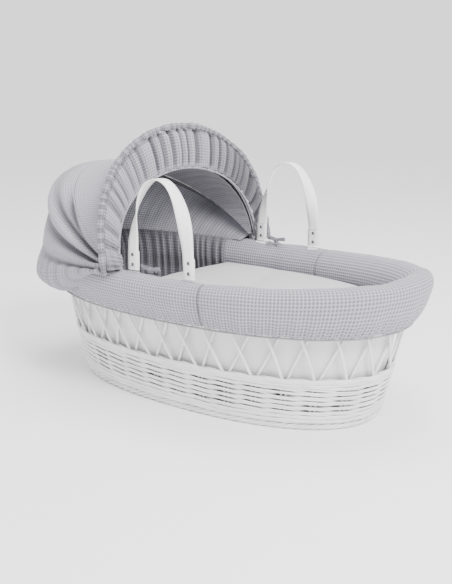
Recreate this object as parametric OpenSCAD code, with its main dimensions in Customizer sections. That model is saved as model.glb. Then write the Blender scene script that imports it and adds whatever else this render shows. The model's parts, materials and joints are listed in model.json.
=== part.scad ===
// Moses basket: white willow basket, padded waffle dressing, fold-back hood,
// two strap handles, mattress and coverlet. +X is the foot end, Z is up, the
// origin is the centre of the base on the floor.

/* [Willow basket] */
// Half length of the basket at the floor
base_half_len = 342; // [300:1:380]
// Half width of the basket at the floor
base_half_wid = 168; // [150:1:190]
// How far the ends lean out per mm of height
end_lean = 0.25; // [0.15:0.01:0.3]
// How far the sides lean out per mm of height
side_lean = 0.16; // [0.1:0.01:0.2]
// Height of the close woven lower band
band_h = 104; // [90:1:115]
// Height of the top of the willow border at mid length
border_top = 250; // [240:1:260]
// How much the rim rises towards its ends
rim_rise = 16; // [8:1:20]
// Number of stake pairs around the basket
stake_pairs = 32; // [24:2:36]
// Radius of a willow stake
stake_r = 2.6; // [2:0.1:3]

/* [Dressing] */
// Height of the elasticated hem of the padded skirt
hem_z = 185; // [175:1:195]
// Thickness of the white side lining
lining_t = 3.5; // [2:0.5:4]

/* [Bedding] */
// Thickness of the mattress
mattress_h = 43; // [35:1:45]
// Height of the top of the coverlet over the floor
coverlet_top = 226; // [215:1:230]
// Thickness of the coverlet
coverlet_t = 20; // [14:1:24]

/* [Handles] */
// Distance between the two feet of a handle
handle_span = 137; // [125:1:145]
// Centre of the handles along the basket
handle_x = 14; // [12:1:30]
// Height of a handle over the padded rim
handle_h = 174; // [150:1:200]
// Width of the strap
strap_w = 25; // [20:1:27]
// Thickness of the strap
strap_t = 2.6; // [2:0.1:3]

/* [Hood] */
// Height of the front opening over the hood pivots
arch_h = 176; // [150:1:185]
// Backward tilt of the front hoop when the hood is up
front_tilt = 9; // [8:1:11]
// Backward tilt of the rear hoop when the hood is up
rear_tilt = 53; // [52:1:55]
// Radius of the hoop wire
wire_r = 2.5; // [2:0.5:3]

/* [Hidden] */
$fn = 32;

oval_n = 2.3;          // roundness of the plan outline: 2 is an ellipse, more is squarer
steps = 96;            // points around the oval
wall_t = 7;            // thickness of the close weave
wale_t = 11;           // thickness of the twisted wale rows
border_r = 8;          // radius of the rolled top border
foot_h = 14;           // height of the rolled foot border
wale_h = 16;           // height of the wale over the close weave
plate_t = 6;           // thickness of the woven base
border_z = border_top - border_r;
rim_len = base_half_len + end_lean * border_top;
mattress_z = foot_h + 3;
mattress_top = mattress_z + mattress_h;
crest_z = border_top + 13;        // top of the padded rim at mid length
pivot_x = -88;
pivot_z = crest_z + 8;
pivot_y = 215;                    // inner face of the pivot stack
pin_r = 2;
foot_z = crest_z + 5.5;           // flex line of the handles
handle_y = base_half_wid + side_lean * border_top - 2.5;
tab_h = 38;
loop_gap = 9.6;
bracket_w = 12;

// ---- shared shapes -------------------------------------------------------

function spow(c, e) = sign(c) * pow(abs(c), e);
function oval_xy(a, b, t) = [a * spow(cos(t), 2 / oval_n), b * spow(sin(t), 2 / oval_n)];
function half_len(z) = base_half_len + end_lean * z;
function half_wid(z) = base_half_wid + side_lean * z;
function rise(x) = rim_rise * pow(x / rim_len, 2);

// A point on the basket wall: angle t, offset d outwards, height z, share s of the rim's rise.
function wall_pt(t, d, z, s = 0) =
    let (p = oval_xy(half_len(z) + d, half_wid(z) + d, t))
    [p[0], p[1], z + s * rise(p[0])];

// Triangles that join consecutive loops of m points; closed_m joins each loop's ends,
// closed_n joins the last loop to the first.
function strip_faces(n, m, closed_m, closed_n) =
    [for (i = [0 : n - (closed_n ? 1 : 2)], j = [0 : m - (closed_m ? 1 : 2)])
        let (a = i * m + j, b = i * m + (j + 1) % m,
             c = ((i + 1) % n) * m + (j + 1) % m, d = ((i + 1) % n) * m + j)
        each [[a, b, c], [a, c, d]]];

function cap_faces(first, m, flip) =
    [for (j = [1 : m - 2]) flip ? [first, first + j + 1, first + j] : [first, first + j, first + j + 1]];

function flatten(rows) = [for (r = rows) each r];

// A closed ring around the basket with the cross-section [offset, height, rise share].
module wall_ring(section) {
    rows = [for (i = [0 : steps - 1]) [for (s = section) wall_pt(i * 360 / steps, s[0], s[1], s[2])]];
    polyhedron(flatten(rows), strip_faces(steps, len(section), true, true));
}

// The same cross-section along part of the oval, from angle t0 to t1, with closed ends.
module wall_arc(section, t0, t1, n) {
    m = len(section);
    rows = [for (i = [0 : n]) [for (s = section) wall_pt(t0 + (t1 - t0) * i / n, s[0], s[1], s[2])]];
    polyhedron(flatten(rows),
               concat(strip_faces(n + 1, m, true, false), [[for (j = [m - 1 : -1 : 0]) j]],
                      [[for (j = [0 : m - 1]) n * m + j]]));
}

function unit(v) = v / norm(v);

// A round rod between two points.
module rod(p, q, r) {
    v = q - p;
    translate(p)
        rotate([0, acos(v[2] / norm(v)), atan2(v[1], v[0])])
            cylinder(h = norm(v), r = r, $fn = 16);
}

// A tube along a planar path whose plane has the normal nrm.
module planar_tube(path, nrm, r, sides = 8) {
    n = len(path);
    rows = [for (i = [0 : n - 1])
        let (tan = unit(path[min(i + 1, n - 1)] - path[max(i - 1, 0)]), side = cross(nrm, tan))
        [for (k = [0 : sides - 1])
            path[i] + r * (cos(k * 360 / sides) * nrm + sin(k * 360 / sides) * side)]];
    polyhedron(flatten(rows),
               concat(strip_faces(n, sides, true, false), cap_faces(0, sides, true),
                      cap_faces((n - 1) * sides, sides, false)));
}

module both_sides() {
    children();
    mirror([0, 1, 0]) children();
}

module oval_plate(a, b, z, h) {
    translate([0, 0, z])
        linear_extrude(h)
            polygon([for (i = [0 : steps - 1]) oval_xy(a, b, i * 360 / steps)]);
}

// ---- willow basket -------------------------------------------------------

module base_weave() {
    color("white") oval_plate(base_half_len - 11, base_half_wid - 11, 0, plate_t);
}

module base_sticks() {
    stick_r = 2.7;
    color("white") {
        for (x = [-240 : 80 : 240])
            let (reach = (base_half_wid - 22) * pow(1 - pow(abs(x) / (base_half_len - 22), oval_n), 1 / oval_n),
                 z = plate_t + stick_r + 0.1)
                rod([x, -reach, z], [x, reach, z], stick_r);
    }
}

module foot_border() {
    color("white")
        difference() {
            oval_plate(base_half_len + 6, base_half_wid + 6, 0, foot_h);
            oval_plate(base_half_len - 10, base_half_wid - 10, -1, foot_h + 2);
        }
}

// Arc length round the wall against the angle, so the stakes stand at equal spacings.
arc_pt = [for (i = [0 : 360]) oval_xy(half_len(border_top / 2), half_wid(border_top / 2), i)];
arc_seg = [for (i = [0 : 359]) norm(arc_pt[i + 1] - arc_pt[i])];
arc_at = [for (i = 0, s = 0; i <= 360; s = s + (i < 360 ? arc_seg[i] : 0), i = i + 1) [s, i]];
arc_total = arc_at[360][0];
function wrap(v) = v - floor(v);
function arc_angle(share) = lookup(wrap(share) * arc_total, arc_at) + 360 * floor(share);
stake_side = 4.2;      // half the distance between the two stakes of a pair
function stake_share(i) = (i + 0.5) / stake_pairs;

module upright_stakes() {
    color("white")
        for (i = [0 : stake_pairs - 1], s = [-1, 1]) {
            t = arc_angle(stake_share(i) + s * stake_side / arc_total);
            rod(wall_pt(t, 0, foot_h + 0.5), wall_pt(t, 0, band_h - wale_h - 1), stake_r);
        }
}

module lower_band() {
    top = band_h - wale_h;
    color("white")
        wall_ring([[-wall_t / 2, foot_h, 0], [wall_t / 2, foot_h, 0], [wall_t / 2, top, 0], [-wall_t / 2, top, 0]]);
}

module lower_wale() {
    low = band_h - wale_h;
    mid = (low + band_h) / 2;
    color("white")
        wall_ring([[-wale_t / 2 + 2, low, 0], [wale_t / 2 - 2, low, 0], [wale_t / 2, mid, 0],
                   [wale_t / 2 - 2, band_h, 0], [-wale_t / 2 + 2, band_h, 0], [-wale_t / 2, mid, 0]]);
}

// One set of leaning stakes: lean is how many stake spacings the top end is carried round.
module leaning_stakes(lean, inset) {
    for (i = [0 : stake_pairs - 1]) {
        t0 = stake_share(i) + sign(lean) * stake_side / arc_total;
        top = wall_pt(arc_angle(t0 + lean / stake_pairs), inset, border_z - border_r + 2, 1);
        low = wall_pt(arc_angle(t0), inset, band_h - 8, 0);
        mid = wall_pt(arc_angle(t0 + lean / 2 / stake_pairs), inset, (border_z - border_r + 2 + band_h - 8) / 2, 0.5);
        rod(low, mid, stake_r);
        rod(mid + unit(top - mid) * 0.4, top, stake_r);
    }
}

module outer_cross_stakes() {
    color("white") leaning_stakes(-1, stake_r + 0.3);
}

module inner_cross_stakes() {
    color("white") leaning_stakes(1, -stake_r - 0.3);
}

module upper_wale() {
    low = border_z - border_r - 14;
    top = border_z - border_r - 4.2;
    color("white")
        wall_ring([[-wale_t / 2, low, 1], [wale_t / 2, low, 1], [wale_t / 2, top, 1], [-wale_t / 2, top, 1]]);
}

module rim_border() {
    color("white")
        wall_ring([for (k = [0 : 9]) let (a = k * 36 - 90) [border_r * cos(a), border_z + (border_r - 0.3) * sin(a), 1]]);
}

// ---- dressing ------------------------------------------------------------

lining_out = -wale_t / 2 - 1;
lining_in = lining_out - lining_t;

module side_lining() {
    color("whitesmoke")
        wall_ring([[lining_in, foot_h + 1, 0], [lining_out, foot_h + 1, 0],
                   [lining_out, border_z - border_r - 14, 1], [lining_in, border_z - border_r - 14, 1]]);
}

// Gathered fabric that covers the lining round the head end, from the mattress up to the rim pads.
module head_gathered_panel() {
    low = mattress_top + 2;
    color("gray")
        wall_arc([[-14, low, 0.2], [-10.5, low, 0.2], [-10.5, 200, 0.9], [-14, 200, 0.9]], 96, 264, 40);
}

module floor_lining() {
    color("whitesmoke")
        oval_plate(half_len(foot_h) + lining_in - 1, half_wid(foot_h) + lining_in - 1, foot_h + 0.5, 2);
}

// The padded rim: over the border, down the inside to the lining's top, and down the outside to the hem.
foot_seam = 76.5;        // angle of the seams beside the handles
head_seam = 135.5;       // angle of the seams beside the hood
pad_inner = -26;
pad_section = [
    [-21, 206, 1], [-12.5, 204, 1], [-12, 238, 1], [-10.5, 247, 1], [-5, 252, 1], [5, 252, 1], [11, 247, 1],
    [12, 238, 1], [12, 215, 0.7], [14, hem_z, 0.15], [19, hem_z - 1, 0.15], [29, 212, 0.5], [35, 240, 0.9],
    [31, 253, 1], [20, crest_z - 2, 1], [6, crest_z, 1], [-10, crest_z - 2, 1], [-20, 252, 1], [pad_inner, 236, 1]];

module slot(x, side, w, d) {
    translate([x - w / 2, side * handle_y - d / 2, border_z - 40]) cube([w, d, 80]);
}

module rim_pad(t0, t1, n) {
    color("lightgray")
        difference() {
            wall_arc(pad_section, t0 + 0.15, t1 - 0.15, n);
            for (side = [-1, 1], s = [-1, 1])
                slot(handle_x + s * handle_span / 2, side, strap_w + 3, 2 * loop_gap + 9);
            for (side = [-1, 1])
                translate([pivot_x - bracket_w / 2 - 1, side * (pivot_y - 1.5) - 4.5, border_top - 12])
                    cube([bracket_w + 2, 9, 40]);
        }
}

module near_rim_pad() {
    rim_pad(-head_seam, -foot_seam, 24);
}

module far_rim_pad() {
    rim_pad(foot_seam, head_seam, 24);
}

module head_rim_pad() {
    rim_pad(head_seam, 360 - head_seam, 32);
}

module foot_rim_pad() {
    rim_pad(-foot_seam, foot_seam, 48);
}

module hem_elastic() {
    color("lightgray")
        wall_ring([[13, hem_z - 5, 0.15], [17, hem_z - 5, 0.15], [17, hem_z - 2, 0.15], [13, hem_z - 2, 0.15]]);
}

bow_x = -13;           // the bows sit between the feet of each handle

// A tied bow: a knot with a loop and a tail on each side.
module bow() {
    color("lightgray") {
        sphere(r = 6, $fn = 20);
        for (s = [-1, 1]) {
            hull() {
                translate([s * 8, 0, 1]) sphere(r = 3, $fn = 16);
                translate([s * 19, 2, 4]) sphere(r = 5.5, $fn = 16);
            }
            hull() {
                translate([s * 6, -2, -1]) sphere(r = 2.4, $fn = 16);
                translate([s * 18, -9, -1]) sphere(r = 2.4, $fn = 16);
            }
        }
    }
}

module near_tie_bow() {
    translate([bow_x, 4 - handle_y, crest_z + 7.5]) rotate([0, 0, 6]) bow();
}

module far_tie_bow() {
    translate([bow_x, handle_y - 4, crest_z + 7.5]) rotate([0, 0, 174]) bow();
}

// ---- hood ----------------------------------------------------------------

// A plate on each side, clamped over the willow border and standing up through the padding.
module hood_brackets() {
    color("silver")
        both_sides()
            difference() {
                translate([pivot_x - bracket_w / 2, pivot_y - 3, border_top - 9])
                    cube([bracket_w, 3, pivot_z - border_top + 15]);
                translate([pivot_x, pivot_y - 4, pivot_z])
                    rotate([-90, 0, 0]) cylinder(h = 6, r = pin_r + 0.05);
            }
}

module hood_pivot_pins() {
    color("silver")
        both_sides() {
            translate([pivot_x, pivot_y - 3.5, pivot_z]) rotate([-90, 0, 0]) cylinder(h = 15.2, r = pin_r);
            translate([pivot_x, pivot_y - 5.5, pivot_z]) rotate([-90, 0, 0]) cylinder(h = 2.1, r = 4);
            translate([pivot_x, pivot_y + 11.6, pivot_z]) rotate([-90, 0, 0]) cylinder(h = 2, r = 4);
        }
}

// Points of a hoop: half width w, height h over the pivots, tilted back by tilt.
function hoop_pt(w, h, tilt, v) =
    [pivot_x - h * pow(sin(v), 0.9) * sin(tilt), -w * cos(v), pivot_z + h * pow(sin(v), 0.9) * cos(tilt)];
function hoop_path(w, h, tilt, lift) =
    [for (i = [0 : 48]) let (v = lift + (180 - 2 * lift) * i / 48) hoop_pt(w, h, tilt, v)];

// The wire ends in an eye on each side. The rear hoop turns next to the bracket, the front one outside it.
eye_r = 6;
eye_t = 2 * wire_r;
rear_eye_y = pivot_y + 0.5;
front_eye_y = rear_eye_y + eye_t + 0.5;
module eyes(y) {
    color("silver")
        both_sides()
            difference() {
                translate([pivot_x, y, pivot_z]) rotate([-90, 0, 0]) cylinder(h = eye_t, r = eye_r);
                translate([pivot_x, y - 1, pivot_z]) rotate([-90, 0, 0]) cylinder(h = eye_t + 2, r = pin_r + 0.05);
            }
}

rear_w = rear_eye_y + wire_r;
front_w = front_eye_y + wire_r;
rear_h = 266;
front_h = arch_h + 5;

module rear_hoop() {
    color("silver")
        planar_tube(hoop_path(rear_w, rear_h, rear_tilt, 0.95), [cos(rear_tilt), 0, sin(rear_tilt)], wire_r);
}

module front_hoop() {
    color("silver")
        planar_tube(hoop_path(front_w, front_h, front_tilt, 1.45), [cos(front_tilt), 0, sin(front_tilt)], wire_r);
}

module rear_hoop_eyes() {
    eyes(rear_eye_y);
}

module front_hoop_eyes() {
    eyes(front_eye_y);
}

// Outline of the cover over the pivots, by tilt: its height along the tilted plane and its half width.
cover_h = [[5, 188], [28, 212], [44, 252], [53, 280], [64, 366], [78, 352], [90, 357], [101, 382]];
cover_w = [[5, 232], [30, 230], [60, 230], [85, 240], [101, 254]];

function cover_pt(tilt, v, off) =
    let (h = lookup(tilt, cover_h) + off, w = lookup(tilt, cover_w) + off)
    [pivot_x - h * pow(sin(v), 0.9) * sin(tilt), -w * cos(v), pivot_z + 3 + h * pow(sin(v), 0.9) * cos(tilt)];

// A fabric shell between two tilts, closed on all sides.
module cover(tilt0, tilt1, rows, thick) {
    cols = 40;
    function row(k, off) = [for (j = [0 : cols]) cover_pt(tilt0 + (tilt1 - tilt0) * k / rows, 174 - 168 * j / cols, off)];
    loops = [for (k = [0 : rows]) concat(row(k, 0), [for (j = [cols : -1 : 0]) row(k, -thick)[j]])];
    m = 2 * (cols + 1);
    caps = [for (j = [0 : cols - 1]) each [[j, j + 1, m - 2 - j], [j, m - 2 - j, m - 1 - j]]];
    color("lightgray")
        polyhedron(flatten(loops),
                   concat(strip_faces(rows + 1, m, true, false), [for (f = caps) [f[0], f[2], f[1]]],
                          [for (f = caps) [f[0] + rows * m, f[1] + rows * m, f[2] + rows * m]]));
}

module hood_roof_panel() {
    cover(front_tilt + 3, rear_tilt, 8, 3);
}

module hood_back_panel() {
    cover(rear_tilt + 0.6, 101, 10, 3);
}

// The frill stands round the front opening like a bonnet brim.
frill_t = 8;
frill_tilt = 9;
frill_x = -76;
frill_z = crest_z + 3;
frill_inner_w = 220;
frill_inner_h = arch_h + 1;
frill_outer_w = 256;
frill_outer_h = 258;

function arch_xy(w, h, v, e) = [w * cos(v), h * pow(sin(v), e)];

module frill_place() {
    translate([frill_x, 0, frill_z]) rotate([0, -frill_tilt, 0]) rotate([90, 0, 90]) children();
}

module hood_frill() {
    color("lightgray")
        frill_place()
            translate([0, 0, -frill_t / 2])
                linear_extrude(frill_t)
                    polygon(concat([for (v = [0 : 5 : 180]) arch_xy(frill_outer_w, frill_outer_h, v, 0.75)],
                                   [for (v = [180 : -5 : 0]) arch_xy(frill_inner_w, frill_inner_h, v, 0.85)]));
}

module frill_tube(w, h, e, r) {
    path = [for (i = [0 : 60]) let (p = arch_xy(w, h, i * 3, e)) [p[0], p[1], 0]];
    frill_place() planar_tube(path, [0, 0, 1], r);
}

module frill_heading() {
    r = 6;
    color("lightgray") frill_tube(frill_outer_w + r + 0.7, frill_outer_h + r + 0.7, 0.75, r);
}

module frill_piping() {
    r = 2;
    color("lightgray") frill_tube(frill_inner_w - r - 0.6, frill_inner_h - r - 0.8, 0.85, r);
}

// ---- handles -------------------------------------------------------------

// The far handle is modelled; the near one is its mirror image.
handle_foot_x = [handle_x - handle_span / 2, handle_x + handle_span / 2];

module handle_loops() {
    top = foot_z - 3.2;
    low = border_z - border_r - 0.6;
    inner = loop_gap;
    color("white")
        for (x = handle_foot_x)
            translate([x - strap_w / 2, handle_y, 0])
                rotate([90, 0, 90])
                    linear_extrude(strap_w)
                        difference() {
                            polygon([[-inner - strap_t, low - strap_t], [inner + strap_t, low - strap_t],
                                     [inner + strap_t, border_top], [strap_t, top], [-strap_t, top],
                                     [-inner - strap_t, border_top]]);
                            polygon([[-inner, low], [inner, low], [inner, border_top - 2],
                                     [0, top - 3.5], [-inner, border_top - 2]]);
                        }
}

module handle_strap() {
    n = 60;
    hw = handle_span / 2;
    rows = [for (i = [0 : n])
        let (a = 180 - 180 * i / n,
             p = [handle_x + hw * cos(a), handle_y + strap_t / 2, foot_z + handle_h * sin(a)],
             tan = unit([hw * sin(a), 0, -handle_h * cos(a)]),
             nrm = cross(tan, [0, -1, 0]),
             climb = max(0, min(1, (handle_h * sin(a) - tab_h) / (handle_h - tab_h))),
             twist = 90 * climb,
             wid = cos(twist) * nrm + sin(twist) * [0, -1, 0],
             thk = cross(wid, tan))
        [for (c = [[-1, -1], [1, -1], [1, 1], [-1, 1]])
            p + c[0] * strap_w / 2 * wid + c[1] * strap_t / 2 * thk]];
    color("white")
        polyhedron(flatten(rows),
                   concat(strip_faces(n + 1, 4, true, false), cap_faces(0, 4, true),
                          cap_faces(n * 4, 4, false)));
}

module handle_tabs() {
    color("white")
        for (x = handle_foot_x)
            translate([x - strap_w / 2 + (x > handle_x ? -1 : 1), handle_y - strap_t - 0.2, foot_z])
                cube([strap_w, strap_t, tab_h]);
}

module handle_rivets() {
    color("silver")
        for (x = handle_foot_x, z = [foot_z + 10, foot_z + 29])
            translate([x, handle_y, z])
                rotate([-90, 0, 0]) {
                    translate([0, 0, -strap_t]) cylinder(h = 2 * strap_t, r = 1.6, $fn = 24);
                    translate([0, 0, strap_t + 0.1]) cylinder(h = 1.6, r1 = 3.6, r2 = 2.2, $fn = 24);
                    translate([0, 0, -strap_t - 1.9]) cylinder(h = 1.6, r1 = 2.2, r2 = 3.6, $fn = 24);
                }
}

module near_handle_loops() { mirror([0, 1, 0]) handle_loops(); }
module near_handle_strap() { mirror([0, 1, 0]) handle_strap(); }
module near_handle_tabs() { mirror([0, 1, 0]) handle_tabs(); }
module near_handle_rivets() { mirror([0, 1, 0]) handle_rivets(); }
module far_handle_loops() { handle_loops(); }
module far_handle_strap() { handle_strap(); }
module far_handle_tabs() { handle_tabs(); }
module far_handle_rivets() { handle_rivets(); }

// ---- bedding -------------------------------------------------------------

mattress_a = half_len(mattress_z) + lining_in - 6;
mattress_b = half_wid(mattress_z) + lining_in - 6;
cover_t = 3;

module mattress_core() {
    color("white")
        oval_plate(mattress_a - cover_t - 0.3, mattress_b - cover_t - 0.3, mattress_z + cover_t + 0.3,
                   mattress_h - 2 * cover_t - 0.6);
}

module mattress_cover() {
    color("white")
        difference() {
            oval_plate(mattress_a, mattress_b, mattress_z, mattress_h);
            oval_plate(mattress_a - cover_t, mattress_b - cover_t, mattress_z + cover_t, mattress_h - 2 * cover_t);
        }
}

coverlet_end = -120;      // head end of the coverlet

// Stack of ovals [inset from the lining, height], closed above and below.
module oval_stack(levels) {
    rows = [for (l = levels) [for (i = [0 : 63])
        let (z = l[1], p = oval_xy(half_len(z) + pad_inner - l[0], half_wid(z) + pad_inner - l[0], -i * 360 / 64))
        [p[0], p[1], z]]];
    n = len(rows);
    polyhedron(flatten(rows), concat(strip_faces(n, 64, true, false), cap_faces(0, 64, true),
                                     cap_faces((n - 1) * 64, 64, false)));
}

module coverlet() {
    low = mattress_top + 0.6;
    color("gainsboro")
        difference() {
            oval_stack([[3, low], [1.5, 130], [1.5, 204], [6, 214], [18, coverlet_top - 6],
                        [48, coverlet_top - 2], [100, coverlet_top]]);
            oval_stack([[3 + coverlet_t, low - 1], [1.5 + coverlet_t, 130], [1.5 + coverlet_t, 185],
                        [30 + coverlet_t, coverlet_top - coverlet_t - 4],
                        [90 + coverlet_t, coverlet_top - coverlet_t]]);
            translate([-500 + coverlet_end, -300, 0]) cube([500, 600, 400]);
        }
}

base_weave();
base_sticks();
foot_border();
upright_stakes();
lower_band();
lower_wale();
outer_cross_stakes();
inner_cross_stakes();
upper_wale();
rim_border();
side_lining();
head_gathered_panel();
floor_lining();
near_rim_pad();
far_rim_pad();
head_rim_pad();
foot_rim_pad();
hem_elastic();
near_tie_bow();
far_tie_bow();
hood_brackets();
hood_pivot_pins();
rear_hoop();
rear_hoop_eyes();
hood_back_panel();
front_hoop();
front_hoop_eyes();
hood_roof_panel();
hood_frill();
frill_heading();
frill_piping();
near_handle_loops();
near_handle_strap();
near_handle_tabs();
near_handle_rivets();
far_handle_loops();
far_handle_strap();
far_handle_tabs();
far_handle_rivets();
mattress_core();
mattress_cover();
coverlet();
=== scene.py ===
"""Moses basket: the visual model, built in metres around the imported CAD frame."""
import json
import math

import bpy
import numpy as np
from mathutils import Matrix, Vector

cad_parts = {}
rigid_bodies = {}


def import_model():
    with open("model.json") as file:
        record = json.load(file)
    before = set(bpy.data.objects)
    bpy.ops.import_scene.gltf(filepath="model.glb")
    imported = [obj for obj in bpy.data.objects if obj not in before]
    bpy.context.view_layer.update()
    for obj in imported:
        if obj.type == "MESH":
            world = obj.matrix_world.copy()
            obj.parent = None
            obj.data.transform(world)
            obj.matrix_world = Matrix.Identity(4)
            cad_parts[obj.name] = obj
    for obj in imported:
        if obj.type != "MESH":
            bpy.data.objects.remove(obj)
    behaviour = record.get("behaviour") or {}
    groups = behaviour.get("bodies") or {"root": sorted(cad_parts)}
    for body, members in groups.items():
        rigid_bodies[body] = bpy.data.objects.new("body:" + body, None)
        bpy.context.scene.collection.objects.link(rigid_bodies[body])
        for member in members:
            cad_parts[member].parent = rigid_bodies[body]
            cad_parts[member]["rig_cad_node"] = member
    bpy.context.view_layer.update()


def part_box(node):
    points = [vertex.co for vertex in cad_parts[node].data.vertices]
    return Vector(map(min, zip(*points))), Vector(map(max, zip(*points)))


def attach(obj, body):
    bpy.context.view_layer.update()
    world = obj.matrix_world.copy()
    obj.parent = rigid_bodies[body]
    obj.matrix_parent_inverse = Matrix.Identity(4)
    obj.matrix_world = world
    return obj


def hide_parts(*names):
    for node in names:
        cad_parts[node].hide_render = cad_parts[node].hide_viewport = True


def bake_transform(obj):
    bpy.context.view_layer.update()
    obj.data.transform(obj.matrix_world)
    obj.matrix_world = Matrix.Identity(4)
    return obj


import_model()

MM = 0.001

# ---- camera ----

CAMERA_POS = Vector((1.0867, -1.3841, 0.6135))
CAMERA_RIGHT = Vector((0.788, 0.6157, 0.0))
CAMERA_UP = Vector((-0.1427, 0.1826, 0.9728))
CAMERA_BACK = Vector((0.5989, -0.7666, 0.2317))
LENS, SENSOR = 54.6, 36.0     # millimetres


def make_camera():
    data = bpy.data.cameras.new("camera")
    data.lens = LENS
    data.sensor_width = SENSOR
    data.sensor_fit = "AUTO"
    data.clip_start = 0.05
    camera = bpy.data.objects.new("camera", data)
    bpy.context.collection.objects.link(camera)
    turn = Matrix((CAMERA_RIGHT, CAMERA_UP, CAMERA_BACK)).transposed()
    camera.matrix_world = Matrix.Translation(CAMERA_POS) @ turn.to_4x4()
    bpy.context.scene.camera = camera


make_camera()

# ---- sizes taken from the frame ----

OVAL_N = 2.3            # roundness of the plan outline
END_LEAN = 0.25         # outward lean of the end walls
SIDE_LEAN = 0.16        # outward lean of the side walls
PAIRS = 32              # pairs of upright stakes
RIM_RISE = 0.016        # how far the rim climbs at the two ends

foot_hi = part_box("foot_border")[1]
BASE_A = foot_hi.x - 0.006
BASE_B = foot_hi.y - 0.006
FOOT_H = foot_hi.z
BAND_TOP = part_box("lower_band")[1].z
WALE_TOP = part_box("lower_wale")[1].z
BORDER_TOP = 0.250
BORDER_R = 0.008
BORDER_Z = BORDER_TOP - BORDER_R
RIM_LEN = BASE_A + END_LEAN * BORDER_TOP
MATTRESS_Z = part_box("mattress_cover")[0].z
MATTRESS_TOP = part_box("mattress_cover")[1].z
COVERLET_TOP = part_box("coverlet")[1].z
COVERLET_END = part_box("coverlet")[0].x
pin_lo, pin_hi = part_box("hood_pivot_pins")
PIVOT_X = (pin_lo.x + pin_hi.x) / 2
PIVOT_Z = (pin_lo.z + pin_hi.z) / 2
CREST_Z = PIVOT_Z - 0.008
HEM_Z = 0.185
FOOT_SEAM = 76.5        # degrees round the oval, beside the handles
HEAD_SEAM = 135.5       # degrees round the oval, beside the hood
strap_lo, strap_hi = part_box("far_handle_strap")
HANDLE_X = (strap_lo.x + strap_hi.x) / 2
HANDLE_TOP = strap_hi.z
STRAP_W = 0.025
STRAP_T = 0.0026
HANDLE_HALF = 0.0685
HANDLE_FULL = 0.90      # under 1, the bend is fuller in the shoulders than an ellipse
HANDLE_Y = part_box("far_handle_tabs")[1].y + 0.0002
FOOT_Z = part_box("far_handle_tabs")[0].z
TAB_H = 0.038


def spow(c, e):
    return np.sign(c) * np.abs(c) ** e


def wall(t, d, z, s=0.0):
    """A point of the basket wall: angle in degrees, offset out, height, share of the rim's rise."""
    t = np.radians(t)
    x = (BASE_A + END_LEAN * z + d) * spow(np.cos(t), 2 / OVAL_N)
    y = (BASE_B + SIDE_LEAN * z + d) * spow(np.sin(t), 2 / OVAL_N)
    x, y, z, s = np.broadcast_arrays(x, y, z, s)
    return np.stack([x, y, z + s * RIM_RISE * (x / RIM_LEN) ** 2], -1)


ARC_T = np.linspace(0, 360, 7201)
_arc = wall(ARC_T, 0.0, BORDER_TOP / 2)
_seg = np.linalg.norm(np.diff(_arc, axis=0), axis=1)
ARC_S = np.concatenate([[0], np.cumsum(_seg)])
PERIMETER = ARC_S[-1]
ARC_S = ARC_S / PERIMETER


def angle(share):
    """Angle in degrees at a share of the way round, by arc length."""
    share = np.asarray(share, float)
    turn = np.floor(share)
    return np.interp(share - turn, ARC_S, ARC_T) + 360 * turn


def share_of(t):
    t = np.asarray(t, float)
    turn = np.floor(t / 360)
    return np.interp(t - 360 * turn, ARC_T, ARC_S) + turn


def smooth(x, a, b):
    t = np.clip((x - a) / (b - a), 0, 1)
    return t * t * (3 - 2 * t)


def unit(v):
    return v / np.maximum(np.linalg.norm(v, axis=-1, keepdims=True), 1e-12)


class Wobble:
    """A smooth, seeded, periodic irregularity of about unit size."""

    def __init__(self, seed, terms=5, lowest=1):
        rng = np.random.default_rng(seed)
        self.k = lowest + np.arange(terms) * rng.integers(1, 4, terms)
        self.phase = rng.uniform(0, 2 * np.pi, terms)
        self.size = rng.uniform(0.5, 1.0, terms) / np.sqrt(terms)

    def __call__(self, share):
        share = np.asarray(share, float)[..., None]
        return (self.size * np.sin(2 * np.pi * self.k * share + self.phase)).sum(-1)


# ---- mesh building ----


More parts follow.
